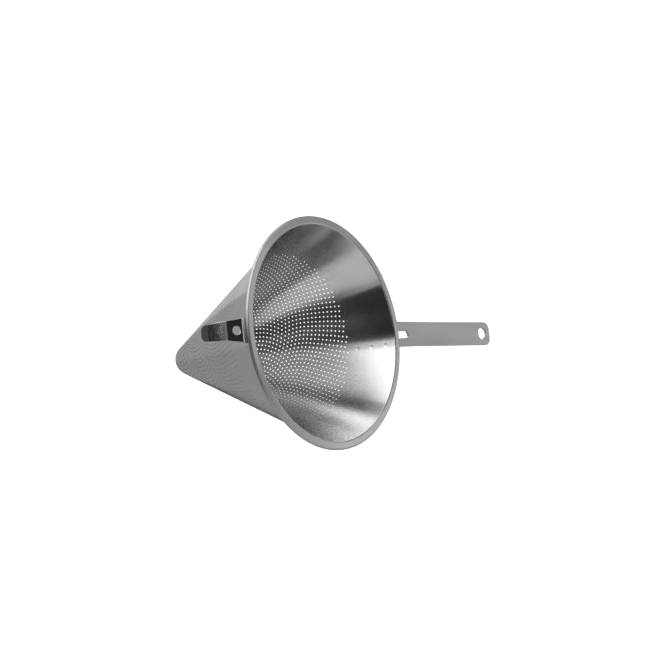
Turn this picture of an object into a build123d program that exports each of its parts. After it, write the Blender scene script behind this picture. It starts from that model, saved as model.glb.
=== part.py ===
from build123d import *
import math
import os

# A chinois, the conical strainer of a kitchen: a pierced cone of stainless steel with a rolled rim,
# a strap handle and, opposite the handle, a hook that rests on a pot.
# The origin is the middle of the mouth, in the plane of the rim's flat top. Z points out of the mouth,
# X along the handle. Sizes are millimetres.

# The rim: a flat flange, its edge rolled round a wire. The wall's outer face would meet the rim's
# plane at the flange's width inside the rim.
rim_radius = 100.0
flange_width = 6.1
rim_wire_radius = 0.65
rim_wire_clearance = 0.15
roll_turn = 280.0

# The sheet of the cone, its wall's angle from the axis in degrees, and its rounded tip and lip.
sheet = 0.7
wall_slope = 24.63
tip_radius = 15.1
lip_underside_radius = 0.8

# The piercing. The real cone has about 89 holes in each of its 32 sectors. The model cuts rings of
# holes of the real size, from below a plain band to above a plain tip, and leaves out those between.
hole_diameter = 1.4
sector_count = 32
ring_count = 9
plain_band = 45.3
plain_tip = 7.4

# What every strap shares: the gap to the cone's curved wall and to the rolled rim above it.
strap_wall_gap = 0.15
strap_rim_gap = 0.15

# The handle: a strap with a leg down the cone, a slot at its root and a hole at its end.
handle_thickness = 2.0
handle_width = 22.7
handle_root_width = 23.5
handle_flare_length = 28.0
handle_reach = 132.7
handle_rise = 7.4
handle_bend_radius = 4.0
handle_corner_radius = 6.0
hang_hole_diameter = 11.2
hang_hole_from_end = 11.4
slot_start = 1.0
slot_length = 15.6
slot_slant = 3.6
slot_left = 2.7
slot_right = 4.2
slot_right_end = 3.1
slot_corner_radius = 0.7
handle_leg_length = 42.0
handle_leg_width = 28.0
handle_leg_shoulder = 6.0
handle_leg_flare = 4.0
handle_leg_corner_radius = 5.0

# The pot hook: a thinner strip that leaves the rim level, slopes down and ends in a curved tongue,
# which narrows towards its end.
hook_thickness = 1.5
hook_root_width = 20.0
hook_width = 15.8
hook_bend_radius = 3.0
hook_level_length = 3.5
hook_slope_length = 12.4
hook_slope = 21.0
hook_crease = 17.0
hook_crease_length = 1.0
tongue_radius = 23.0
tongue_turn = 62.0
tongue_drop = 18.6
tongue_taper = 13.0
tongue_tip_width = 12.6
tongue_corner_radius = 5.0
hook_hole_diameter = 6.8
hook_hole_from_knee = 4.6
hook_leg_length = 27.0
hook_leg_width = 22.0
hook_leg_shoulder = 6.0
hook_leg_flare = 3.0
hook_leg_corner_radius = 4.0

# The spot welds, in rows down the slope from the rim's plane and in two columns beside the middle.
nugget_radius = 2.25
nugget_depth = 0.4
nugget_clearance = 0.06
handle_weld_rows = 3
handle_weld_first = 9.7
handle_weld_pitch = 13.15
handle_weld_offset = 9.7
hook_weld_rows = 2
hook_weld_first = 11.0
hook_weld_pitch = 11.0
hook_weld_offset = 6.0

# Cuts run past what they cut by this much.
overrun = 5.0


def across(degrees):
    """The direction at an angle in the side view, where X is the radius and Y the height."""
    return Vector(math.cos(math.radians(degrees)), math.sin(math.radians(degrees)))


def arc_about(centre, radius, start, turn):
    """An arc in the side view, round a centre, from a start angle through a turn."""
    first = centre + across(start) * radius
    middle = centre + across(start + turn / 2) * radius
    last = centre + across(start + turn) * radius
    return ThreePointArc(first, middle, last)


def meeting(point, direction, other_point, other_direction):
    """Where two lines of the side view cross."""
    apart = other_point - point
    cross = direction.X * other_direction.Y - direction.Y * other_direction.X
    along = (apart.X * other_direction.Y - apart.Y * other_direction.X) / cross
    return point + direction * along


# The wall in the side view: where it would meet the rim's plane and, without the rounded tip, the
# axis, and the directions up along it and straight out of it.
wall_top = Vector(rim_radius - flange_width, 0)
apex = Vector(0, -wall_top.X / math.tan(math.radians(wall_slope)))
up_wall = across(90 - wall_slope)
out_of_wall = across(-wall_slope)


def on_wall(slant, height=0.0):
    """A point of the side view, slant down the wall's outer face and height out of it."""
    return wall_top - up_wall * slant + out_of_wall * height


def wall_plane(slant, turn, height):
    """The plane that lies on the wall at a slant and a turn about the axis, raised by height."""
    spot = on_wall(slant, height)
    origin = Vector(spot.X, 0, spot.Y).rotate(Axis.Z, turn)
    normal = Vector(out_of_wall.X, 0, out_of_wall.Y).rotate(Axis.Z, turn)
    return Plane(origin=origin, z_dir=normal)


# The spot welds. Each nugget is a short stud of melted steel that reaches into the cone's sheet and
# into the strap. Both have a pocket for it.
def weld_studs(rows, first, pitch, offset, middle_turn, radius):
    """The studs of one strap, row by row in two columns beside its middle."""
    length = strap_wall_gap + 2 * nugget_depth
    studs = []
    for side in (-1, 1):
        for row in range(rows):
            slant = first + row * pitch
            turn = middle_turn + side * math.degrees(math.asin(offset / on_wall(slant).X))
            seat = wall_plane(slant, turn, strap_wall_gap / 2)
            studs.append(seat * Cylinder(radius, length))
    return studs


handle_welds = (handle_weld_rows, handle_weld_first, handle_weld_pitch, handle_weld_offset, 0)
hook_welds = (hook_weld_rows, hook_weld_first, hook_weld_pitch, hook_weld_offset, 180)
pocket_radius = nugget_radius + nugget_clearance
handle_nuggets = weld_studs(*handle_welds, nugget_radius)
handle_pockets = weld_studs(*handle_welds, pocket_radius)
hook_nuggets = weld_studs(*hook_welds, nugget_radius)
hook_pockets = weld_studs(*hook_welds, pocket_radius)

# The cone: one sheet, from the rounded tip up the wall, over the lip and round the wire.
roll_radius = rim_wire_radius + rim_wire_clearance + sheet
roll_centre = Vector(rim_radius - roll_radius, -roll_radius)
roll_bore = roll_radius - sheet
lip_radius = lip_underside_radius + sheet
lip_height = -lip_radius
lip_out = lip_underside_radius + lip_height * math.sin(math.radians(wall_slope))
lip_centre = Vector(wall_top.X + lip_out / math.cos(math.radians(wall_slope)), lip_height)
tip_centre = apex + Vector(0, tip_radius / math.sin(math.radians(wall_slope)))
tip_bore = tip_radius - sheet
tip_turn = 90 - wall_slope
lip_turn = wall_slope - 90

outer_tip = arc_about(tip_centre, tip_radius, -90, tip_turn)
under_lip = arc_about(lip_centre, lip_underside_radius, 180 - wall_slope, lip_turn)
inner_roll = arc_about(roll_centre, roll_bore, 90, -roll_turn)
outer_roll = arc_about(roll_centre, roll_radius, 90 - roll_turn, roll_turn)
over_lip = arc_about(lip_centre, lip_radius, 90, -lip_turn)
inner_tip = arc_about(tip_centre, tip_bore, -wall_slope, -tip_turn)
sheet_outline = [
    outer_tip,
    Line(outer_tip @ 1, under_lip @ 0),
    under_lip,
    Line(under_lip @ 1, inner_roll @ 0),
    inner_roll,
    Line(inner_roll @ 1, outer_roll @ 0),
    outer_roll,
    Line(outer_roll @ 1, over_lip @ 0),
    over_lip,
    Line(over_lip @ 1, inner_tip @ 0),
    inner_tip,
    Line(inner_tip @ 1, outer_tip @ 0),
]
cone = revolve(Plane.XZ * make_face(sheet_outline), Axis.Z)

# The holes, ring by ring, each ring turned by half a pitch against the last.
punch = Cylinder(hole_diameter / 2, 2 * overrun)
sector = 360 / sector_count
tip_start = (wall_top - apex).length - tip_radius / math.tan(math.radians(wall_slope))
ring_pitch = (tip_start - plain_tip - plain_band) / (ring_count - 1)
punches = []
for ring in range(ring_count):
    slant = plain_band + ring * ring_pitch
    for step in range(sector_count):
        turn = (step + ring % 2 / 2) * sector
        punches.append(wall_plane(slant, turn, 0) * punch)
cone = cone.cut(*punches, *handle_pockets, *hook_pockets)

# The wire lies in the roll with its clearance all round.
rim_wire = Pos(0, 0, roll_centre.Y) * Torus(roll_centre.X, rim_wire_radius)


# A strap starts as its side view turned about the axis, so that its leg follows the cone's wall.
# Then it is cut to its outlines, seen from outside for the leg and from above for the rest.
def turned(middle_line, thickness, leg_length, leg_width):
    """The strap's side view, thickened and turned about the axis to more than its width."""
    side_view = Plane.XZ * trace(middle_line, thickness)
    narrowest = on_wall(leg_length + overrun).X
    spread = math.degrees(math.asin(leg_width / narrowest))
    return Rot(0, 0, -spread) * revolve(side_view, Axis.Z, 2 * spread)


def tab(side, corner_radius):
    """An outline seen from outside: widths at heights from its foot up. The foot is rounded."""
    right = [(width / 2, height) for width, height in side]
    right.append((right[-1][0], overrun))
    left = [(-y, z) for y, z in reversed(right)]
    outline = make_face(Polyline(right + left, close=True))
    return fillet(outline.vertices().group_by(Axis.Y)[0], corner_radius)


def leg_tab(root_width, width, shoulder, flare, length, corner_radius):
    """A leg's outline: as wide as the strap's root down to its shoulder, and wider below."""
    side = [
        (width, on_wall(length).Y),
        (width, on_wall(shoulder + flare).Y),
        (root_width, on_wall(shoulder).Y),
    ]
    return tab(side, corner_radius)


def plate(outline, height):
    """An outline seen from above, as a block that reaches height both ways."""
    return extrude(outline, height, both=True)


def leg_foot(length, thickness):
    """The lower end of a leg's middle line, a little past where the outline cuts it."""
    return on_wall(length + overrun, strap_wall_gap + thickness / 2)


# The straps pass under the rim's roll. Their legs end, and the rest begins, below its middle.
parting = roll_centre.X

# The handle: up the leg, round the bend under the rim and out to the end.
handle_along = across(handle_rise)
handle_normal = across(handle_rise + 90)
handle_drop = roll_radius + strap_rim_gap + handle_thickness / 2
handle_under_rim = roll_centre - handle_normal * handle_drop
handle_foot = leg_foot(handle_leg_length, handle_thickness)
handle_corner = meeting(handle_foot, up_wall, handle_under_rim, handle_along)
handle_tip = rim_radius + handle_reach
handle_end = handle_corner + handle_along * ((handle_tip - handle_corner.X) / handle_along.X)
handle_past_end = handle_end + handle_along * overrun
handle_line = FilletPolyline(handle_foot, handle_corner, handle_past_end, radius=handle_bend_radius)

handle_leg = leg_tab(
    handle_root_width,
    handle_leg_width,
    handle_leg_shoulder,
    handle_leg_flare,
    handle_leg_length,
    handle_leg_corner_radius,
)
flare_end = rim_radius + handle_flare_length
handle_side = [
    (parting, handle_root_width / 2),
    (rim_radius, handle_root_width / 2),
    (flare_end, handle_width / 2),
    (handle_tip, handle_width / 2),
]
handle_plan = make_face(Polyline(handle_side + [(x, -y) for x, y in reversed(handle_side)], close=True))
handle_plan = fillet(handle_plan.vertices().group_by(Axis.X)[-1], handle_corner_radius)

# The slot lets the strap bend. Its far end is cut aslant.
slot_root = rim_radius + slot_start
slot_end = slot_root + slot_length
slot_plan = make_face(
    Polyline(
        (slot_root, slot_left),
        (slot_end - slot_slant / 2, slot_left),
        (slot_end + slot_slant / 2, -slot_right_end),
        (slot_root, -slot_right),
        close=True,
    )
)
slot_plan = fillet(slot_plan.vertices(), slot_corner_radius)
handle_plan -= slot_plan

hang_spot = handle_end - handle_along * hang_hole_from_end
hang_plane = Plane(
    origin=(hang_spot.X, 0, hang_spot.Y),
    z_dir=(handle_normal.X, 0, handle_normal.Y),
)
hang_hole = hang_plane * Cylinder(hang_hole_diameter / 2, handle_thickness + 2 * overrun)

handle = turned(handle_line, handle_thickness, handle_leg_length, handle_leg_width)
handle_block = extrude(Plane.YZ * handle_leg, parting) + plate(handle_plan, handle_reach)
handle = (handle & handle_block).cut(hang_hole, *handle_pockets)

# The pot hook, made along X and then turned to its place opposite the handle.
hook_drop = roll_radius + strap_rim_gap + hook_thickness / 2
hook_under_rim = roll_centre - Vector(0, hook_drop)
hook_foot = leg_foot(hook_leg_length, hook_thickness)
hook_corner = meeting(hook_foot, up_wall, hook_under_rim, Vector(1, 0))
hook_knee = Vector(rim_radius + hook_level_length, hook_under_rim.Y)
hook_down = across(-hook_slope)
hook_bend = hook_knee + hook_down * hook_slope_length
tongue_angle = -hook_slope - hook_crease
tongue_root = hook_bend + across(tongue_angle) * hook_crease_length
tongue_centre = tongue_root + across(tongue_angle - 90) * tongue_radius
tongue = arc_about(tongue_centre, tongue_radius, tongue_angle + 90, -tongue_turn)
hook_points = (hook_foot, hook_corner, hook_knee, hook_bend, tongue_root)
hook_line = FilletPolyline(*hook_points, radius=hook_bend_radius) + tongue

hook_leg = leg_tab(
    hook_root_width,
    hook_leg_width,
    hook_leg_shoulder,
    hook_leg_flare,
    hook_leg_length,
    hook_leg_corner_radius,
)
tongue_side = [
    (tongue_tip_width, hook_bend.Y - tongue_drop),
    (tongue_tip_width, hook_bend.Y - tongue_taper),
    (hook_width, hook_bend.Y),
    (hook_root_width, hook_bend.Y + hook_thickness),
]
hook_tongue = tab(tongue_side, tongue_corner_radius)
hook_tip = tongue_centre.X + tongue_radius + overrun
hook_side = [
    (parting, hook_root_width / 2),
    (rim_radius, hook_root_width / 2),
    (hook_bend.X, hook_width / 2),
    (hook_tip, hook_width / 2),
]
hook_plan = make_face(Polyline(hook_side + [(x, -y) for x, y in reversed(hook_side)], close=True))
hook_hole_spot = hook_knee + hook_down * hook_hole_from_knee
hook_normal = across(90 - hook_slope)
hook_hole_plane = Plane(
    origin=(hook_hole_spot.X, 0, hook_hole_spot.Y),
    z_dir=(hook_normal.X, 0, hook_normal.Y),
)
hook_hole = hook_hole_plane * Cylinder(hook_hole_diameter / 2, hook_thickness + 2 * overrun)

hook = turned(hook_line, hook_thickness, hook_leg_length, hook_leg_width)
hook_outer = extrude(Plane.YZ * hook_tongue, hook_tip) & plate(hook_plan, hook_tip)
hook = hook & (extrude(Plane.YZ * hook_leg, parting) + hook_outer)
hook = (Rot(0, 0, 180) * hook.cut(hook_hole)).cut(*hook_pockets)

pieces = {
    "strainer_cone": cone,
    "rim_wire": rim_wire,
    "handle_strap": handle,
    "pot_hook": hook,
}
for number, nugget in enumerate(handle_nuggets, start=1):
    pieces[f"handle_weld_{number}"] = nugget
for number, nugget in enumerate(hook_nuggets, start=1):
    pieces[f"hook_weld_{number}"] = nugget

os.makedirs("parts", exist_ok=True)
for name, shape in pieces.items():
    export_step(shape, f"parts/{name}.step")
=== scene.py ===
import math
import bpy
import numpy as np
from mathutils import Matrix, Vector
from mathutils.geometry import delaunay_2d_cdt


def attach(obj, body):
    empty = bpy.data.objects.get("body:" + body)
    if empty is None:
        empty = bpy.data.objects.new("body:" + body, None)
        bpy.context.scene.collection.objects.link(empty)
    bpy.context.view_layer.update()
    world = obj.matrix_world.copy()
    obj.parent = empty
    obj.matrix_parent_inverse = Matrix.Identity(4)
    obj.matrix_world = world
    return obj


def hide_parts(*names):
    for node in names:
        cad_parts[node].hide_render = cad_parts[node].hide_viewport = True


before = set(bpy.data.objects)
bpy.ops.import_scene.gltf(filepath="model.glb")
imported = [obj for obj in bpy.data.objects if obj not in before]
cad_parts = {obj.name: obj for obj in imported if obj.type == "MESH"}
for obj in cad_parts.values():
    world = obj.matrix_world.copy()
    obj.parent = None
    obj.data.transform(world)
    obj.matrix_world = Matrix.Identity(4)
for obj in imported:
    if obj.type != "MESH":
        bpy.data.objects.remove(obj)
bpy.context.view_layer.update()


# The cone, from its lip to its rounded tip.
# One sheet of stainless steel, drawn into a cone, polished and then pierced by a press. The press
# makes a chain of holes, turns the cone by a sector and makes the next one beside it.
mm = 0.001
micron = 0.001 * mm
rim_radius = 100 * mm
flange_width = 6.1 * mm
sheet = 0.7 * mm
wall_slope = math.radians(24.63)
tip_radius = 15.1 * mm
lip_underside_radius = 0.8 * mm
hole_radius = 0.7 * mm
sectors = 32
first_hole_turn = math.radians(2.1)
plain_band = 45.3 * mm
plain_tip = 8.8 * mm
stroke_turn = math.radians(3.51)
stroke_arc = 3.66 * mm
stroke_drop = 1.208 * mm
area_per_hole = 13.55 * mm * mm
corners_per_hole = 10
top_columns = 6
tip_columns = 2

sector = 2 * math.pi / sectors
wall_radius = rim_radius - flange_width
wall_length = wall_radius / math.sin(wall_slope)
apex_height = -wall_length * math.cos(wall_slope)
tip_start = tip_radius / math.tan(wall_slope)


class Skin:
    """Gathers the faces of a piece, with the direction of its surface at each of their corners."""

    def __init__(self):
        self.corners, self.normals, self.sizes = [], [], []

    def add(self, corners, normals):
        """Adds faces of one size, as arrays of faces, their corners and X, Y, Z."""
        corners, normals = np.broadcast_arrays(corners, normals)
        across = np.cross(corners[:, 1] - corners[:, 0], corners[:, -1] - corners[:, 0])
        inside_out = (across * normals.sum(axis=1)).sum(axis=1) < 0
        corners, normals = corners.copy(), normals.copy()
        corners[inside_out] = corners[inside_out, ::-1]
        normals[inside_out] = normals[inside_out, ::-1]
        self.corners.append(corners.reshape(-1, 3))
        self.normals.append(normals.reshape(-1, 3))
        self.sizes += [corners.shape[1]] * corners.shape[0]

    def add_grid(self, places, normals):
        """Adds a sheet of four-cornered faces between rows of places."""
        def squares(rows):
            four = rows[:-1, :-1], rows[1:, :-1], rows[1:, 1:], rows[:-1, 1:]
            return np.stack(four, axis=2).reshape(-1, 4, 3)
        self.add(squares(places), squares(np.broadcast_to(normals, places.shape)))

    def made(self, name, material):
        """The piece's object. Corners that meet share a vertex."""
        corners = np.concatenate(self.corners)
        meeting = 0.1 * micron
        whole = np.round(corners / meeting).astype(np.int64)
        _, first, shared = np.unique(whole, axis=0, return_index=True, return_inverse=True)
        ends = np.cumsum(self.sizes)
        faces = [face.tolist() for face in np.split(shared.reshape(-1), ends[:-1])]
        mesh = bpy.data.meshes.new(name)
        mesh.from_pydata(corners[first].tolist(), [], faces)
        mesh.normals_split_custom_set(np.concatenate(self.normals).tolist())
        mesh.materials.append(material)
        piece = bpy.data.objects.new(name, mesh)
        bpy.context.collection.objects.link(piece)
        return piece


def turned(points, angle):
    """Places or directions turned about the axis."""
    cos, sin = np.cos(angle), np.sin(angle)
    x, y, z = np.moveaxis(np.asarray(points), -1, 0)
    return np.stack([x * cos - y * sin, x * sin + y * cos, z + 0 * angle], axis=-1)


def wall_place(turn, along, depth=0.0):
    """A place in the wall: turn about the axis, distance from the sharp apex, depth in from outside."""
    radius = along * math.sin(wall_slope) - depth * math.cos(wall_slope)
    height = apex_height + along * math.cos(wall_slope) + depth * math.sin(wall_slope)
    return turned(np.stack([radius, 0 * radius, height], axis=-1), turn)


def out_of_wall(turn):
    """The direction straight out of the wall."""
    return turned(np.array([math.cos(wall_slope), 0, -math.sin(wall_slope)]), turn)


def rolled_out(turn, along):
    """The wall laid flat: turn and distance from the apex become a place in a plane."""
    angle = turn * math.sin(wall_slope)
    return np.stack([along * np.sin(angle), along * np.cos(angle)], axis=-1)


def cut_out(loops, inside=()):
    """Triangles of a flat outline with round or square holes: the numbers of their points."""
    points = np.concatenate([*loops, *([inside] if len(inside) else [])]) / mm
    edges, start = [], 0
    for loop in loops:
        ring = np.arange(len(loop))
        edges += np.stack([start + ring, start + (ring + 1) % len(loop)], axis=1).tolist()
        start += len(loop)
    vectors = [Vector(point) for point in points]
    inside_only, nearness = 1, 1e-7
    _, _, triangles, came_from, *_ = delaunay_2d_cdt(vectors, edges, [], inside_only, nearness)
    triangles = np.array([[came_from[corner][0] for corner in face] for face in triangles])
    middles = points[triangles].mean(axis=1) * mm
    for hole in loops[1:]:
        (x, y), away = (np.roll(hole, -1, axis=0) - hole).T, middles[:, None] - hole
        side = x * away[..., 1] - y * away[..., 0] > 0
        keep = side.any(axis=1) & ~side.all(axis=1)
        triangles, middles = triangles[keep], middles[keep]
    return triangles


def spun(skin, profile, turns):
    """Adds a surface of revolution: a profile of places with normals, in the plane of X and Z."""
    places, normals = profile
    skin.add_grid(turned(places[:, None], turns[None]), turned(normals[:, None], turns[None]))


def bow(centre, radius, start, sweep, steps, side=1):
    """A round stretch of a profile, from a start angle through a sweep. Side -1 faces its centre."""
    angle = np.radians(start + sweep * np.linspace(0, 1, steps + 1))
    outward = np.stack([np.cos(angle), 0 * angle, np.sin(angle)], axis=-1)
    return np.array([centre[0], 0, centre[1]]) + radius * outward, side * outward


def straight(start, end, normal):
    """A straight stretch of a profile, between the ends of two others."""
    places = np.array([start, end])
    return places, np.broadcast_to(normal, places.shape)


# The chain of holes, and its edges halfway to the chains beside it.
chain = [(first_hole_turn, wall_length - plain_band)]
while chain[-1][1] > tip_start + plain_tip:
    turn, along = chain[-1]
    ring_radius = along * math.sin(wall_slope)
    chain.append((
        turn - max(stroke_turn, stroke_arc / ring_radius),
        along - max(stroke_drop, area_per_hole / (sector * ring_radius)),
    ))
chain = np.array(chain)
strokes = np.arange(len(chain))
half_stroke = 0.5
top_overhang, tip_overhang = 1.5, 0.75
marks = np.concatenate([
    [-top_overhang],
    np.arange(-1, strokes[-1] + half_stroke, half_stroke),
    [strokes[-1] + tip_overhang],
])


def on_chain(stroke):
    """Turn and distance from the apex at a stroke, also between strokes and past the ends."""
    first, last = chain[1] - chain[0], chain[-1] - chain[-2]
    before = chain[0] + np.minimum(stroke, 0)[:, None] * first
    after = np.maximum(stroke - strokes[-1], 0)[:, None] * last
    between = np.stack([np.interp(stroke, strokes, chain[:, k]) for k in (0, 1)], axis=-1)
    return np.where(stroke[:, None] < 0, before, between + after)


middle = on_chain(marks)
half_sector = np.array([sector / 2, 0])
top_edge = middle[0] + np.linspace(-1, 1, top_columns + 1)[:, None] * half_sector
tip_edge = middle[-1] + np.linspace(1, -1, tip_columns + 1)[:, None] * half_sector
strip = np.concatenate([
    top_edge,
    middle[1:-1] + half_sector,
    tip_edge,
    middle[-2:0:-1] - half_sector,
])
top_along, tip_along = middle[0][1], middle[-1][1]
top_turns = np.linspace(0, 2 * math.pi, sectors * top_columns + 1) + top_edge[0, 0]
tip_turns = np.linspace(0, 2 * math.pi, sectors * tip_columns + 1) + tip_edge[0, 0]

# Each hole is round on the wall laid flat. Turn and distance are found back from the flat places.
around = 2 * math.pi * (np.arange(corners_per_hole) + 0.5) / corners_per_hole
circle = hole_radius * np.stack([np.cos(around), np.sin(around)], axis=-1)
between_holes = on_chain(strokes[:-1] + half_stroke)


def rolled_up(flat, near_turn):
    """The turn and distance from the apex of a flat place, for a turn that is known roughly."""
    x, y = np.moveaxis(flat, -1, 0)
    loose = np.arctan2(x, y) / math.sin(wall_slope)
    whole = 2 * math.pi / math.sin(wall_slope)
    return np.stack([loose + whole * np.round((near_turn - loose) / whole), np.hypot(x, y)], axis=-1)


hole_flats = rolled_out(*chain.T)[:, None] + circle
hole_rings = rolled_up(hole_flats, chain[:, None, 0])
loops = [rolled_out(*strip.T), *hole_flats]
sheet_corners = np.concatenate([strip, *hole_rings, between_holes])
triangles = cut_out(loops, rolled_out(*between_holes.T))
faces = sheet_corners[triangles]

cone = Skin()
copies = np.arange(sectors)[:, None, None] * sector
strip_turn = (faces[None, :, :, 0] + copies).reshape(-1, 3)
strip_along = np.broadcast_to(faces[None, :, :, 1], (sectors, *faces.shape[:2])).reshape(-1, 3)
cone.add(wall_place(strip_turn, strip_along), out_of_wall(strip_turn))
cone.add(wall_place(strip_turn, strip_along, sheet), -out_of_wall(strip_turn))

# The walls of the holes, which face their own middles.
ring = np.concatenate([hole_rings, hole_rings[:, :1]], axis=1)
for copy in range(sectors):
    ring_turn, ring_along = ring[..., 0] + copy * sector, ring[..., 1]
    outer = wall_place(ring_turn, ring_along)
    inner = wall_place(ring_turn, ring_along, sheet)
    hole_middle = wall_place(chain[:, None, 0] + copy * sector, chain[:, None, 1])
    to_middle = (hole_middle - outer) / hole_radius
    four = outer[:, :-1], inner[:, :-1], inner[:, 1:], outer[:, 1:]
    facing = to_middle[:, :-1], to_middle[:, :-1], to_middle[:, 1:], to_middle[:, 1:]
    cone.add(np.stack(four, axis=2).reshape(-1, 4, 3), np.stack(facing, axis=2).reshape(-1, 4, 3))

# The rolled rim and the plain band below it, from the first holes outside, round and back inside.
roll_radius = 1.5 * mm
roll_bore = roll_radius - sheet
roll_turn = 280
roll_centre = np.array([rim_radius - roll_radius, -roll_radius])
slope_degrees = math.degrees(wall_slope)
lip_radius = lip_underside_radius + sheet
lip_out = lip_underside_radius - lip_radius * math.sin(wall_slope)
lip_centre = np.array([wall_radius + lip_out / math.cos(wall_slope), -lip_radius])
upward, downward = np.array([0, 0, 1]), np.array([0, 0, -1])
under_lip_steps, over_lip_steps = 6, 8
inner_roll_steps, outer_roll_steps = 20, 28
tip_steps = 12

under_lip = bow(
    lip_centre, lip_underside_radius, 180 - slope_degrees, slope_degrees - 90, under_lip_steps, -1)
over_lip = bow(lip_centre, lip_radius, 90, 90 - slope_degrees, over_lip_steps)
inner_roll = bow(roll_centre, roll_bore, 90, -roll_turn, inner_roll_steps, -1)
outer_roll = bow(roll_centre, roll_radius, 90 - roll_turn, roll_turn, outer_roll_steps)
roll_end_normal = np.cross(outer_roll[1][0], [0, 1, 0])
rim_profile = [
    under_lip,
    straight(under_lip[0][-1], inner_roll[0][0], downward),
    inner_roll,
    straight(inner_roll[0][-1], outer_roll[0][0], roll_end_normal),
    outer_roll,
    straight(outer_roll[0][-1], over_lip[0][0], upward),
    over_lip,
]
for stretch in rim_profile:
    spun(cone, stretch, top_turns)
no_turn = np.array(0.0)
band_foot = wall_place(no_turn, np.array(top_along)), wall_place(no_turn, np.array(top_along), sheet)
spun(cone, straight(under_lip[0][0], band_foot[0], out_of_wall(no_turn)), top_turns)

# The spot welds leave shallow round dimples inside the band, three rows for the handle and two for
# the hook. The swell gives each a low rim of pressed-out steel.
dimple_radius = 3.4 * mm
dimple_depth = 0.06 * mm
dimple_rings = 8
dimple_spokes = 18
dimple_swell = 3.2
tiny = 1e-9
handle_weld_slants = 9.7 * mm + 13.15 * mm * np.arange(3)
handle_weld_offset = 9.7 * mm
hook_weld_slants = 11 * mm + 11 * mm * np.arange(2)
hook_weld_offset = 6 * mm
weld_places = []
for middle_turn, slants, offset in (
    (0, handle_weld_slants, handle_weld_offset),
    (math.pi, hook_weld_slants, hook_weld_offset),
):
    for slant in slants:
        swing = math.asin(offset / (wall_radius - slant * math.sin(wall_slope)))
        weld_places += [(middle_turn + side * swing, wall_length - slant) for side in (-1, 1)]


def dimpled(turn, along):
    """Places and normals of the band's inner face, pressed outward at the welds."""
    places, normals = wall_place(turn, along, sheet), -out_of_wall(turn)
    flat = rolled_out(turn, along)
    along_wall = turned(np.array([math.sin(wall_slope), 0, math.cos(wall_slope)]), turn)
    round_wall = turned(np.array([0, 1, 0]), turn)
    for weld_turn, weld_along in weld_places:
        away = flat - rolled_out(np.array(weld_turn), np.array(weld_along))
        share = np.minimum(np.linalg.norm(away, axis=-1) / dimple_radius, 1)
        fade, rise = 1 - share ** 2, 1 - dimple_swell * share ** 2
        wave = fade ** 2 * rise
        fall = -2 * fade * (2 * rise + dimple_swell * fade) * share
        places = places + (dimple_depth * wave)[..., None] * out_of_wall(turn)
        spin = turn * math.sin(wall_slope)
        outward = away / np.maximum(np.linalg.norm(away, axis=-1), tiny)[..., None]
        up_share = outward[..., 0] * np.sin(spin) + outward[..., 1] * np.cos(spin)
        round_share = outward[..., 0] * np.cos(spin) - outward[..., 1] * np.sin(spin)
        lean = (dimple_depth / dimple_radius * fall)[..., None]
        tilt = up_share[..., None] * along_wall + round_share[..., None] * round_wall
        normals = normals + lean * tilt
    return places, normals / np.linalg.norm(normals, axis=-1)[..., None]


# The band starts where the lip ends. It is plain between two patches of dimples.
lip_end = over_lip[0][-1]
from_apex = float(np.hypot(lip_end[0], lip_end[2] - apex_height))
lip_along = math.sqrt(from_apex ** 2 - sheet ** 2)
patch_reach = 7
column = 2 * math.pi / (sectors * top_columns)
plain_turns = []
for middle_turn in (0, math.pi):
    nearest = np.argmin(np.abs(top_turns - middle_turn))
    turns = top_turns[nearest] + column * np.arange(-patch_reach, patch_reach + 1)
    plain_turns.append(turns)
    edge = np.concatenate([
        np.stack([turns, 0 * turns + lip_along], axis=-1),
        np.stack([turns[::-1], 0 * turns + top_along], axis=-1),
    ])
    fine = []
    for weld_turn, weld_along in weld_places:
        if abs(weld_turn - middle_turn) < patch_reach * column:
            weld_flat = rolled_out(np.array(weld_turn), np.array(weld_along))
            fine.append(weld_flat[None])
            for step in range(1, dimple_rings + 1):
                angle = 2 * math.pi * (np.arange(dimple_spokes) + step / 2) / dimple_spokes
                reach = dimple_radius * step / dimple_rings
                fine.append(weld_flat + reach * np.stack([np.cos(angle), np.sin(angle)], axis=-1))
    fine_flat = np.concatenate(fine)
    band_corners = np.concatenate([edge, rolled_up(fine_flat, np.array(middle_turn))])
    band = band_corners[cut_out([rolled_out(*edge.T)], rolled_out(*band_corners[len(edge):].T))]
    cone.add(*dimpled(band[..., 0], band[..., 1]))
handle_patch, hook_patch = plain_turns
for start, end in (
    (handle_patch[-1], hook_patch[0]),
    (hook_patch[-1], handle_patch[0] + 2 * math.pi),
):
    turns = np.linspace(start, end, int(round((end - start) / column)) + 1)
    spun(cone, straight(over_lip[0][-1], band_foot[1], -out_of_wall(no_turn)), turns)

# The tip: the last of the plain wall and a spun ball.
tip_centre = np.array([0, apex_height + tip_radius / math.sin(wall_slope)])
tip_foot = wall_place(no_turn, np.array(tip_along)), wall_place(no_turn, np.array(tip_along), sheet)
for foot, radius, side in ((tip_foot[0], tip_radius, 1), (tip_foot[1], tip_radius - sheet, -1)):
    ball = bow(tip_centre, radius, -slope_degrees, slope_degrees - 90, tip_steps, side)
    spun(cone, straight(foot, ball[0][0], side * out_of_wall(no_turn)), tip_turns)
    spun(cone, (ball[0][:-1], ball[1][:-1]), tip_turns)
    ends = turned(ball[0][-2], tip_turns)
    pole = np.broadcast_to(ball[0][-1] * [0, 1, 1], ends[:-1].shape)
    lean = turned(ball[1][-2], tip_turns)
    cone.add(
        np.stack([ends[:-1], ends[1:], pole], axis=1),
        np.stack([lean[:-1], lean[1:], np.broadcast_to(side * downward, pole.shape)], axis=1),
    )


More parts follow.
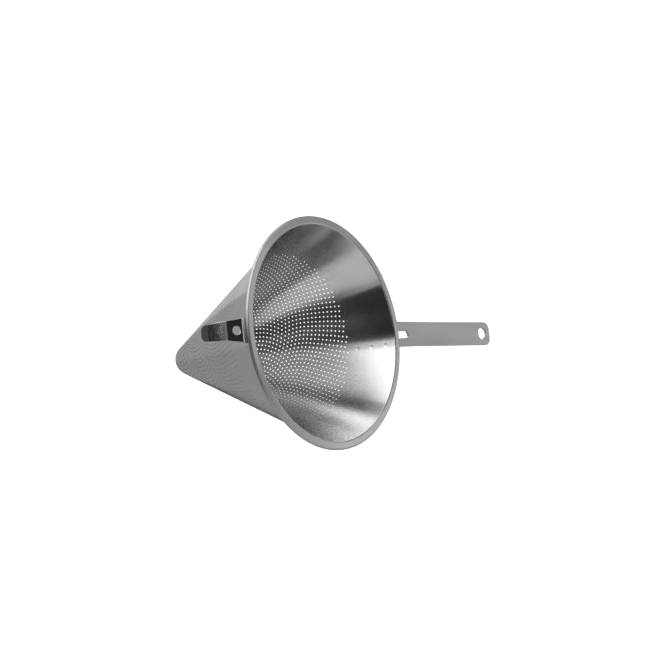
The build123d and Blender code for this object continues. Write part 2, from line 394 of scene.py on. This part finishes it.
class Tone:
    """A socket of a finish. Sums and products of tones and numbers add their Math nodes."""

    def __init__(self, socket):
        self.socket = socket

    def node(self, kind, settings, sockets, out=0):
        """Adds a node of any type to the same tree: its settings, then what its sockets hold."""
        tree = self.socket.id_data
        added = tree.nodes.new(kind)
        for name, value in settings.items():
            setattr(added, name, value)
        for name, value in sockets.items():
            if isinstance(value, Tone):
                tree.links.new(value.socket, added.inputs[name])
            else:
                added.inputs[name].default_value = value
        return Tone(added.outputs[out])

    def maths(self, operation, other):
        return self.node("ShaderNodeMath", {"operation": operation}, {0: self, 1: other})

    def __add__(self, other):
        return self.maths("ADD", other)

    def __mul__(self, other):
        return self.maths("MULTIPLY", other)

    __radd__, __rmul__ = __add__, __mul__


def steel(name, **settings):
    """A bare steel finish, the place on the piece for its pattern, and its shader."""
    material = bpy.data.materials.new(name)
    material.use_nodes = True
    shader = material.node_tree.nodes["Principled BSDF"]
    shader.inputs["Metallic"].default_value = 1.0
    for socket, value in settings.items():
        shader.inputs[socket.replace("_", " ")].default_value = value
    place = Tone(material.node_tree.nodes.new("ShaderNodeTexCoord").outputs["Object"])
    return material, place, shader


def drive(shader, **tones):
    """Links tones to the shader's sockets."""
    for socket, tone in tones.items():
        shader.id_data.links.new(tone.socket, shader.inputs[socket.replace("_", " ")])


def greys(tone, dark, light):
    """A colour between two greys of steel, by a tone from 0 to 1."""
    return tone.node("ShaderNodeMix", {"data_type": "RGBA"}, {
        "Factor": tone, "A": (*dark, 1), "B": (*light, 1)}, 2)


def noise(place, scale, detail=2.0, rough=0.5):
    """An uneven pattern from 0 to 1. Its scale is about how many spots there are to a metre."""
    return place.node("ShaderNodeTexNoise", {}, {
        "Vector": place, "Scale": scale, "Detail": detail, "Roughness": rough})


def stretched(place, scale):
    """The place with each axis scaled, so that a pattern on it is drawn out."""
    return place.node("ShaderNodeVectorMath", {"operation": "MULTIPLY"}, {0: place, 1: scale})


# Polishing lines run round the cone, and broad clouds show how evenly the steel was polished. The
# rolled edge is duller, because the rollers mark it and no wheel polishes it after them.
cone_steel, place, shader = steel("cone steel", Anisotropic=0.85, Anisotropic_Rotation=0.25)
flat_place = stretched(place, (1, 1, 0))
radius = place.node("ShaderNodeVectorMath", {"operation": "LENGTH"}, {0: flat_place}, 1)
height = place.node("ShaderNodeSeparateXYZ", {}, {0: place}, 2)
lines_per_metre = 1800
lines = place.node("ShaderNodeCombineXYZ", {}, {
    0: radius * lines_per_metre, 1: height * lines_per_metre, 2: 0.0})
polish = noise(lines, scale=1.0, detail=3.0)
clouds = noise(place, scale=38.0, detail=3.0)
half_blend = 0.4 * mm
rolled = radius.node("ShaderNodeMapRange", {"interpolation_type": "SMOOTHSTEP"}, {
    "Value": radius,
    "From Min": roll_centre[0] - half_blend,
    "From Max": roll_centre[0] + half_blend,
})
drive(
    shader,
    Base_Color=greys(clouds, dark=(0.67, 0.67, 0.675), light=(0.79, 0.79, 0.795)),
    Roughness=0.15 + 0.05 * clouds + 0.04 * polish + 0.25 * rolled,
    Normal=place.node("ShaderNodeBump", {}, {"Strength": 0.05, "Distance": 0.00001, "Height": polish}),
)
cone = cone.made("cone_sheet", cone_steel)
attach(cone, "root")
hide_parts("strainer_cone")


# The wire in the rim.
# A ring of drawn wire that the cone's edge is rolled round. It shows only in the gap under the roll.
wire_steel, place, shader = steel("wire steel")
drawn = noise(stretched(place, (1, 1, 9)), scale=420.0)
drive(
    shader,
    Base_Color=greys(drawn, dark=(0.5, 0.5, 0.51), light=(0.62, 0.62, 0.63)),
    Roughness=0.22 + 0.16 * drawn,
)
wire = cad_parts["rim_wire"]
wire.data.materials.clear()
wire.data.materials.append(wire_steel)


# The handle.
# A strap of stainless steel, cut out flat with a slot and a hole, brushed along its length and bent
# up at the rim. Its leg lies on the cone and is spot-welded to it. The slot makes the bend softer.
class Strap:
    """A strap of sheet that is cut out flat and bent along a line in the plane of radius and height."""

    # The steps and spacings of its mesh, and how far past the leg it has become straight across.
    longest_step = 3 * mm
    bend_step = math.radians(6)
    corner_step = math.radians(9)
    column_width = 2.6 * mm
    least_spacing = 0.7 * mm
    least_share = 0.001
    flattening = 6 * mm

    def __init__(self, corners, bend_radius, thickness, last_bend=(0, 0), crown=None, turn=0.0):
        steps = np.diff(corners, axis=0)
        lengths, headings = np.hypot(*steps.T), np.arctan2(steps[:, 1], steps[:, 0])
        turns = np.append(np.diff(headings), 0)
        taken = bend_radius * np.tan(np.abs(turns) / 2)
        lengths = lengths - taken - np.roll(taken, 1)
        runs = np.stack([lengths, 0 * lengths, bend_radius * np.abs(turns), turns], axis=-1)
        runs = runs.reshape(-1, 2)
        runs[-1] = last_bend
        self.thickness, self.crown, self.turn = thickness, crown, turn
        self.runs, self.stations = [], [[0]]
        place, heading, along = corners[0], headings[0], 0
        for length, swing in runs[runs[:, 0] > 0]:
            self.runs.append((along, place, heading, swing / length))
            pieces = math.ceil(max(length / self.longest_step, abs(swing) / self.bend_step))
            self.stations.append(along + length * np.arange(1, pieces + 1) / pieces)
            along += length
            heading += swing
            place = self.line(np.array(along))[:2]
        self.length, self.leg_top = along, self.runs[1][0]
        self.stations = np.concatenate(self.stations)

    def line(self, along):
        """Radius, height and heading of the middle line, at distances along it."""
        along = np.maximum(along, 0)
        found = np.zeros((*along.shape, 3))
        for start, place, heading, curve in self.runs:
            here = along >= start
            far = along[here] - start
            chord, middle = far * np.sinc(curve * far / 2 / math.pi), heading + curve * far / 2
            found[here, 0] = place[0] + chord * np.cos(middle)
            found[here, 1] = place[1] + chord * np.sin(middle)
            found[here, 2] = heading + curve * far
        return found

    def at_radius(self, radius):
        """How far along the line a radius is reached."""
        samples = 4001
        along = np.linspace(0, self.length, samples)
        return float(np.interp(radius, self.line(along)[:, 0], along))

    def folded(self, flat, height, facing):
        """Places of the flat cut after bending, and directions given along it, across it and out.

        The leg is rounded to the cone. Past the bend the strap is straight across again.
        """
        radius, level, heading = np.moveaxis(self.line(flat[..., 0]), -1, 0)
        drop, fall = self.crown(flat) if self.crown else (0, 0)
        radius = radius - (height - drop) * np.sin(heading)
        level = level + (height - drop) * np.cos(heading)
        flattened = np.clip((flat[..., 0] - self.leg_top) / self.flattening, 0, 1)
        wrap = 1 - flattened ** 2 * (3 - 2 * flattened)
        swing = wrap * np.arcsin(flat[..., 1] / radius)
        radius = radius - wrap * (radius - np.sqrt(radius ** 2 - flat[..., 1] ** 2))
        places = turned(np.stack([radius, flat[..., 1], level], axis=-1), np.array(self.turn))
        nothing, round_to = 0 * heading, swing + self.turn
        along = turned(np.stack([np.cos(heading), nothing, np.sin(heading)], axis=-1), round_to)
        across = turned(np.stack([nothing, nothing + 1, nothing], axis=-1), round_to)
        out = turned(np.stack([-np.sin(heading), nothing, np.cos(heading)], axis=-1), round_to)
        ahead, aside, away = np.moveaxis(facing, -1, 0)
        tilted = ahead[..., None] * along + (aside + fall * away)[..., None] * across
        return places, tilted + (away - fall * aside)[..., None] * out

    def outline(self, corners, radii):
        """A closed outline with rounded corners: its points, and the directions that leave the sheet."""
        corners = np.array(corners)
        steps = np.roll(corners, -1, axis=0) - corners
        headings = np.arctan2(steps[:, 1], steps[:, 0])
        swings = (headings - np.roll(headings, 1) + math.pi) % (2 * math.pi) - math.pi
        points, angles = [], []
        for corner, heading, swing, radius in zip(corners, headings, swings, radii):
            back = heading - swing
            toward = np.array([math.cos(back), math.sin(back)])
            start = corner - radius * math.tan(abs(swing) / 2) * toward
            share = np.linspace(0, 1, math.ceil(abs(swing) / self.corner_step) + 1)
            chord = radius * abs(swing) * share * np.sinc(swing * share / 2 / math.pi)
            middle = back + swing * share / 2
            points.append(start + chord[:, None] * np.stack([np.cos(middle), np.sin(middle)], axis=-1))
            angles.append(back + swing * share)
        loop, turns = [], []
        for number in range(len(points)):
            first, last = points[number][-1], points[(number + 1) % len(points)][0]
            loop.append(points[number])
            turns.append(angles[number])
            gap = last - first
            pieces = math.ceil(np.hypot(*gap) / self.longest_step)
            share = np.arange(1, pieces) / pieces
            if abs(gap[0]) > abs(gap[1]):
                share = (self.stations - first[0]) / gap[0]
            clear_of_ends = (share > self.least_share) & (share < 1 - self.least_share)
            share = np.sort(share[clear_of_ends])
            loop.append(first + share[:, None] * gap)
            turns.append(headings[number] + 0 * share)
        heading = np.concatenate(turns)
        return np.concatenate(loop), np.stack([np.sin(heading), -np.cos(heading)], axis=-1)

    def hole(self, along, across, radius, count=40):
        """A round hole's outline and the directions into it."""
        angle = -2 * math.pi * np.arange(count) / count
        way = np.stack([np.cos(angle), np.sin(angle)], axis=-1)
        return np.array([along, across]) + radius * way, -way

    def skin(self, outlines, edge_radius, edge_rings=5):
        """The strap's whole surface: two faces, and rounded edges round each outline."""
        skin = Skin()
        half = self.thickness / 2
        bend = np.radians(np.linspace(90, 0, edge_rings))
        angle = np.concatenate([bend, -bend[::-1]])[:, None]
        middles = np.repeat([half - edge_radius, edge_radius - half], edge_rings)
        level = middles[:, None] + edge_radius * np.sin(angle)
        insets = []
        for points, ways in outlines:
            insets.append(points - edge_radius * ways)
            ring = np.arange(len(points) + 1) % len(points)
            flat = points[None, ring] - (edge_radius * (1 - np.cos(angle)))[..., None] * ways[None, ring]
            facing = np.concatenate([
                np.cos(angle)[..., None] * ways[None, ring],
                np.broadcast_to(np.sin(angle)[..., None], (*flat.shape[:2], 1)),
            ], axis=-1)
            skin.add_grid(*self.folded(flat, np.broadcast_to(level, flat.shape[:2]), facing))
        low, high = insets[0].min(axis=0), insets[0].max(axis=0)
        columns = np.linspace(low[1], high[1], math.ceil((high[1] - low[1]) / self.column_width) + 1)
        inside = np.stack(np.meshgrid(self.stations, columns), axis=-1).reshape(-1, 2)
        edge_points = np.concatenate(insets)
        away = np.min([np.linalg.norm(inside - point, axis=-1) for point in edge_points], axis=0)
        inside = inside[away > self.least_spacing]
        flat = np.concatenate([*insets, inside])[cut_out(insets, inside)]
        for side in (1, -1):
            facing = np.broadcast_to([0, 0, side], (*flat.shape[:2], 3))
            skin.add(*self.folded(flat, side * half, facing))
        return skin


def on_wall(slant, height=0.0):
    """Radius and height of a point slant down the wall's outer face, and height out of it."""
    radius = wall_radius - slant * math.sin(wall_slope) + height * math.cos(wall_slope)
    return np.array([radius, -slant * math.cos(wall_slope) - height * math.sin(wall_slope)])


def strap_corner(foot, under_rim, heading):
    """Where a leg's line up the wall meets the line that passes under the rim."""
    up_wall = np.array([math.sin(wall_slope), math.cos(wall_slope)])
    out = np.array([math.cos(heading), math.sin(heading)])
    far = np.linalg.solve(np.stack([up_wall, -out], axis=1), under_rim - foot)[0]
    return foot + far * up_wall


strap_gap = 0.15 * mm
handle_thickness = 2 * mm
handle_width = 22.7 * mm
handle_root_width = 23.5 * mm
handle_rise = math.radians(7.4)
handle_end = 232.61 * mm
handle_leg = 42 * mm
handle_leg_width = 28 * mm
handle_bend_radius = 4 * mm
handle_crown = 0.9 * mm

foot = on_wall(handle_leg, strap_gap + handle_thickness / 2)
drop = roll_radius + strap_gap + handle_thickness / 2
under_rim = roll_centre + drop * np.array([math.sin(handle_rise), -math.cos(handle_rise)])
corner = strap_corner(foot, under_rim, handle_rise)
end = corner + (handle_end - corner[0]) * np.array([1, math.tan(handle_rise)])
crown_start, crown_full = 70 * mm, 100 * mm
slot_slant = 1.2 * mm
slot_corner_radius = 0.8 * mm
hang_hole_radius = 5.6 * mm
hang_hole_place = 221.395 * mm
handle_edge_radius = 0.55 * mm


def handle_crowned(flat):
    """How far the handle's edges are pressed down, and how steeply, growing from the root."""
    grown = np.clip((flat[..., 0] - crown_start) / (crown_full - crown_start), 0, 1)
    grown = grown ** 2 * (3 - 2 * grown)
    share = flat[..., 1] / (handle_width / 2)
    return handle_crown * grown * share ** 2, handle_crown * grown * 2 * share / (handle_width / 2)


strap = Strap([foot, corner, end], handle_bend_radius, handle_thickness, crown=handle_crowned)
root, flare_end = strap.at_radius(rim_radius), strap.at_radius(128 * mm)

# The corners of one side, up from the foot: how far along, half the width, and the rounding.
side = [
    (0, handle_leg_width / 2, 5 * mm),
    (handle_leg - 10 * mm, handle_leg_width / 2, 3 * mm),
    (handle_leg - 6 * mm, handle_root_width / 2, 3 * mm),
    (root, handle_root_width / 2, 10 * mm),
    (flare_end, handle_width / 2, 10 * mm),
    (strap.length, handle_width / 2, 6 * mm),
]
corners = [(x, -y) for x, y, _ in side] + [(x, y) for x, y, _ in reversed(side)]
radii = [radius for *_, radius in side + side[::-1]]
slot_start, slot_end = strap.at_radius(101 * mm), strap.at_radius(115 * mm)

# The slot is wider at the root, and its far end is cut at a slant.
slot = [
    (slot_start, 2.7 * mm),
    (slot_end - slot_slant, 2.7 * mm),
    (slot_end + slot_slant, -3.1 * mm),
    (slot_start, -4.2 * mm),
]
outlines = [
    strap.outline(corners, radii),
    strap.outline(slot, [slot_corner_radius] * len(slot)),
    strap.hole(strap.at_radius(hang_hole_place), 0, hang_hole_radius),
]
handle_steel, place, shader = steel("handle steel")
brushing = noise(stretched(place, (7, 1500, 700)), scale=1.0, detail=4.0, rough=0.6)
drawn = noise(stretched(place, (3, 160, 90)), scale=1.0, detail=2.0)
drive(
    shader,
    Base_Color=greys(drawn, dark=(0.75, 0.75, 0.755), light=(0.85, 0.85, 0.855)),
    Roughness=0.24 + 0.12 * brushing + 0.05 * drawn,
    Normal=place.node("ShaderNodeBump", {}, {"Strength": 0.08, "Distance": 0.00002, "Height": brushing}),
)
handle = strap.skin(outlines, handle_edge_radius).made("handle", handle_steel)
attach(handle, "root")
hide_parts("handle_strap")


# The pot hook.
# A thinner strip, polished bright, that rests on a pot's edge. It leaves the rim level, slopes down
# past its hole, and ends in a curved tongue. Its leg is spot-welded to the cone as the handle's is.
hook_thickness = 1.5 * mm
hook_width = 15.8 * mm
hook_root_width = 20 * mm
hook_leg = 27 * mm
hook_leg_width = 22 * mm
hook_bend_radius = 3 * mm
hook_level_reach = 3.5 * mm
hook_slope_length = 12.4 * mm
crease_length = 1 * mm
tongue_radius = 23 * mm
tongue_turn = math.radians(51.65)
tongue_tip_width = 13.2 * mm
hook_slope = math.radians(21)
tongue_slope = math.radians(38)
hook_hole_radius = 3.4 * mm
hook_hole_place = 107.79 * mm
hook_edge_radius = 0.4 * mm

foot = on_wall(hook_leg, strap_gap + hook_thickness / 2)
under_rim = roll_centre - [0, roll_radius + strap_gap + hook_thickness / 2]
corner = strap_corner(foot, under_rim, 0)
knee = np.array([rim_radius + hook_level_reach, under_rim[1]])
bend = knee + hook_slope_length * np.array([math.cos(hook_slope), -math.sin(hook_slope)])
tongue_root = bend + crease_length * np.array([math.cos(tongue_slope), -math.sin(tongue_slope)])
line = [foot, corner, knee, bend, tongue_root]
tongue = (tongue_radius * tongue_turn, -tongue_turn)
strap = Strap(line, hook_bend_radius, hook_thickness, last_bend=tongue, turn=math.pi)
side = [
    (0, hook_leg_width / 2, 4 * mm),
    (hook_leg - 9 * mm, hook_leg_width / 2, 2 * mm),
    (hook_leg - 6 * mm, hook_root_width / 2, 2 * mm),
    (strap.at_radius(rim_radius), hook_root_width / 2, 8 * mm),
    (strap.at_radius(bend[0]), hook_width / 2, 8 * mm),
    (strap.length - 6 * mm, tongue_tip_width / 2, 8 * mm),
    (strap.length, tongue_tip_width / 2, 5 * mm),
]
corners = [(x, -y) for x, y, _ in side] + [(x, y) for x, y, _ in reversed(side)]
radii = [radius for *_, radius in side + side[::-1]]
outlines = [
    strap.outline(corners, radii),
    strap.hole(strap.at_radius(hook_hole_place), 0, hook_hole_radius, count=32),
]
hook_steel, place, shader = steel("hook steel")
haze = noise(place, scale=260.0, detail=3.0)
drive(
    shader,
    Base_Color=greys(haze, dark=(0.68, 0.68, 0.685), light=(0.76, 0.76, 0.765)),
    Roughness=0.12 + 0.08 * haze,
)
hook = strap.skin(outlines, hook_edge_radius).made("hook", hook_steel)
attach(hook, "root")
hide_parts("pot_hook")


# The spot welds.
# Nuggets of steel melted between the straps and the cone, dull grey where they show in the gap.
weld_steel, place, shader = steel("weld steel")
melt = noise(place, scale=900.0, detail=3.0)
drive(
    shader,
    Base_Color=greys(melt, dark=(0.34, 0.33, 0.32), light=(0.52, 0.51, 0.5)),
    Roughness=0.32 + 0.2 * melt,
)
for name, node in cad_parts.items():
    if "weld" in name:
        node.data.materials.clear()
        node.data.materials.append(weld_steel)


# The studio.
# A white floor well below the strainer, soft lamps, and cards that show only in the polished steel:
# bright ones beside the camera, dark ones round it, and grey ones behind the strainer and below.
floor_height = -0.6
floor_reach = 40
floor_sides = ((-1, -1), (1, -1), (1, 1), (-1, 1))
floor_corners = [(x * floor_reach, y * floor_reach, floor_height) for x, y in floor_sides]
floor_mesh = bpy.data.meshes.new("floor")
floor_mesh.from_pydata(floor_corners, [], [(0, 1, 2, 3)])
floor = bpy.data.objects.new("floor", floor_mesh)
bpy.context.collection.objects.link(floor)


def seen(start):
    """1 for rays that show the background: from the camera, and in metal or through glass."""
    rays = start.node("ShaderNodeLightPath", {}, {}).socket.node.outputs
    straight_or_metal = Tone(rays["Is Camera Ray"]).maths("MAXIMUM", Tone(rays["Is Glossy Ray"]))
    return straight_or_metal.maths("MAXIMUM", Tone(rays["Is Transmission Ray"]))


# White paint with a glow for the eye alone, which grows far off, so that no horizon shows.
glow_start, glow_full = 0.9, 4.0
glow_near, glow_gain = 0.55, 0.3
floor_paint = bpy.data.materials.new("floor paint")
floor_paint.use_nodes = True
tree = floor_paint.node_tree
tree.nodes.clear()
surface = tree.nodes.new("ShaderNodeOutputMaterial")
paint = tree.nodes.new("ShaderNodeBsdfDiffuse")
paint.inputs["Color"].default_value = (0.8, 0.8, 0.8, 1)
start = Tone(paint.outputs[0])
spot = Tone(tree.nodes.new("ShaderNodeTexCoord").outputs["Object"])
distance = spot.node("ShaderNodeVectorMath", {"operation": "LENGTH"}, {0: spot}, 1)
far_off = spot.node("ShaderNodeMapRange", {"interpolation_type": "SMOOTHSTEP"}, {
    "Value": distance, "From Min": glow_start, "From Max": glow_full})
glow = start.node("ShaderNodeEmission", {}, {
    "Color": (1, 1, 1, 1), "Strength": seen(start) * (glow_near + glow_gain * far_off)})
both = start.node("ShaderNodeAddShader", {}, {0: start, 1: glow})
tree.links.new(both.socket, surface.inputs["Surface"])
floor_mesh.materials.append(floor_paint)

# The room round the strainer is white to the eye, and only a dim light on the floor.
dim_light = 0.3
world = bpy.data.worlds.new("studio")
world.use_nodes = True
bpy.context.scene.world = world
background = world.node_tree.nodes["Background"]
start = Tone(background.outputs[0])
background.inputs["Color"].default_value = (1, 1, 1, 1)
brightness = dim_light + seen(start) * (1 - dim_light)
world.node_tree.links.new(brightness.socket, background.inputs["Strength"])


def card(name, turns, heights, level, distance=1.3):
    """A curved card that faces the strainer, between two turns and two heights in degrees."""
    face_degrees = 8
    def divided(low, high):
        faces = max(1, round(abs(high - low) / face_degrees))
        return np.radians(np.linspace(low, high, faces + 1))
    turns, heights = np.meshgrid(divided(*turns), divided(*heights))
    way = [np.cos(heights) * np.cos(turns), np.cos(heights) * np.sin(turns), np.sin(heights)]
    number = np.arange(turns.size).reshape(turns.shape)
    squares = np.stack([number[:-1, :-1], number[1:, :-1], number[1:, 1:], number[:-1, 1:]], axis=-1)
    mesh = bpy.data.meshes.new(name)
    places = distance * np.stack(way, axis=-1)
    mesh.from_pydata(places.reshape(-1, 3).tolist(), [], squares.reshape(-1, 4).tolist())
    glow = bpy.data.materials.new(name)
    glow.use_nodes = True
    glow.node_tree.nodes.clear()
    lit = glow.node_tree.nodes.new("ShaderNodeEmission")
    lit.inputs["Strength"].default_value = level
    out = glow.node_tree.nodes.new("ShaderNodeOutputMaterial")
    glow.node_tree.links.new(lit.outputs[0], out.inputs["Surface"])
    mesh.materials.append(glow)
    board = bpy.data.objects.new(name, mesh)
    bpy.context.collection.objects.link(board)
    board.visible_camera = board.visible_diffuse = board.visible_transmission = False
    board.visible_shadow = board.visible_volume_scatter = False


# The rows of cards, by their lowest and highest edge in degrees, seen from the mouth's middle.
mouth_row = -14, 20
second_row = 20, 31
upper_row = 31, 40
ledge_row = 40, 44.5
high_row = 44.5, 50
roof_row = 50, 64
top_row = 64, 90
low_row = -40, -10
lower_row = -65, -40
lowest_row = -90, -65
low_distance = 0.59

# Round the strainer at the height of its mouth. The camera is at 188 degrees round and 39 degrees up.
card("soft_box", (100, 160), mouth_row, 1.64)
card("soft_box_edge", (160, 168), mouth_row, 0.82)
card("black_flag", (168, 225), mouth_row, 0.005)
card("flag_edge", (225, 232), mouth_row, 0.42)
card("grey_side", (232, 295), mouth_row, 0.55)
card("dim_back", (295, 360), mouth_row, 0.26)
card("dark_back", (360, 430), mouth_row, 0.03)
card("pale_back", (70, 100), mouth_row, 0.8)
# One step up, and then towards the ceiling.
card("bright_box", (100, 160), second_row, 2.65)
card("bright_box_edge", (160, 168), second_row, 1.1)
card("camera_flag", (168, 232), second_row, 0.005)
card("pale_side", (232, 330), second_row, 0.5)
card("grey_back", (330, 370), second_row, 0.38)
card("grey_corner", (370, 410), second_row, 0.55)
card("pale_corner", (50, 100), second_row, 1.07)
card("upper_box", (100, 168), upper_row, 1.6)
card("upper_flag", (168, 208), upper_row, 0.01)
card("upper_dim", (208, 255), upper_row, 0.06)
card("upper_side", (255, 330), upper_row, 0.36)
card("rim_card", (330, 370), upper_row, 0.64)
card("rim_card_dim", (370, 410), upper_row, 0.28)
card("upper_corner", (50, 100), upper_row, 0.46)
card("ledge_box", (100, 155), ledge_row, 0.5)
card("ledge_flag", (155, 195), ledge_row, 0.13)
card("ledge_dark", (195, 240), ledge_row, 0.01)
card("ledge_dim", (240, 300), ledge_row, 0.09)
card("ledge_pale", (300, 340), ledge_row, 0.6)
card("ledge_back", (340, 395), ledge_row, 0.35)
card("ledge_corner", (395, 460), ledge_row, 0.05)
card("high_box", (100, 155), high_row, 0.66)
card("high_flag", (155, 195), high_row, 0.09)
card("high_light", (195, 240), high_row, 1.0)
card("high_grey", (240, 340), high_row, 0.33)
card("handle_card", (340, 365), high_row, 0.27)
card("handle_light", (365, 395), high_row, 0.95)
card("high_back", (395, 460), high_row, 0.03)
card("roof_box", (100, 140), roof_row, 0.69)
card("roof_flag", (140, 180), roof_row, 0.17)
card("roof_light", (180, 260), roof_row, 0.84)
card("roof_grey", (260, 330), roof_row, 0.39)
card("roof_dim", (330, 460), roof_row, 0.02)
card("roof", (0, 360), top_row, 0.02)
# Under the strainer, closer than the others, so that the floor is behind them.
card("low_dim", (90, 450), low_row, 0.07, low_distance)
card("low_grey", (90, 330), lower_row, 0.31, low_distance)
card("low_dark", (330, 360), lower_row, 0.05, low_distance)
card("low_light", (0, 90), lower_row, 0.6, low_distance)
card("grey_below", (0, 180), lowest_row, 0.38, low_distance)
card("dim_below", (180, 360), lowest_row, 0.32, low_distance)

# The lamps light the floor, and don't show in the steel. Each has its place, its size and its power.
lamps = (
    ("top_lamp", (-0.3, 0.9, 1.6), 1.2, 40),
    ("side_lamp", (-0.6, -1.2, 1.4), 1.0, 25),
)
for name, place, size, power in lamps:
    lamp_data = bpy.data.lights.new(name, "AREA")
    lamp_data.size, lamp_data.energy = size, power
    lamp = bpy.data.objects.new(name, lamp_data)
    bpy.context.collection.objects.link(lamp)
    lamp.location = place
    lamp.rotation_euler = (-Vector(place)).to_track_quat("-Z", "Y").to_euler()
    lamp.visible_glossy = False


# The camera, at the photograph's place.
# The strainer lay on a table with its handle towards the right. The camera looked into the mouth
# from above the table, a metre away.
camera_place = Vector((-0.7729, -0.1085, 0.6247))
look = Vector((0.77467, 0.1077, -0.62313)).normalized()
picture_up = Vector((-0.01564, 0.98835, 0.15138))
picture_right = look.cross(picture_up).normalized()
picture_up = picture_right.cross(look)
lens_data = bpy.data.cameras.new("camera")
lens_data.lens = 64.0
lens_data.sensor_width = 36.0
lens_data.clip_start = 0.01
camera = bpy.data.objects.new("camera", lens_data)
bpy.context.collection.objects.link(camera)
axes = Matrix((picture_right, picture_up, -look)).transposed()
camera.matrix_world = Matrix.Translation(camera_place) @ axes.to_4x4()
bpy.context.scene.camera = camera
bpy.context.scene.view_settings.view_transform = "Standard"
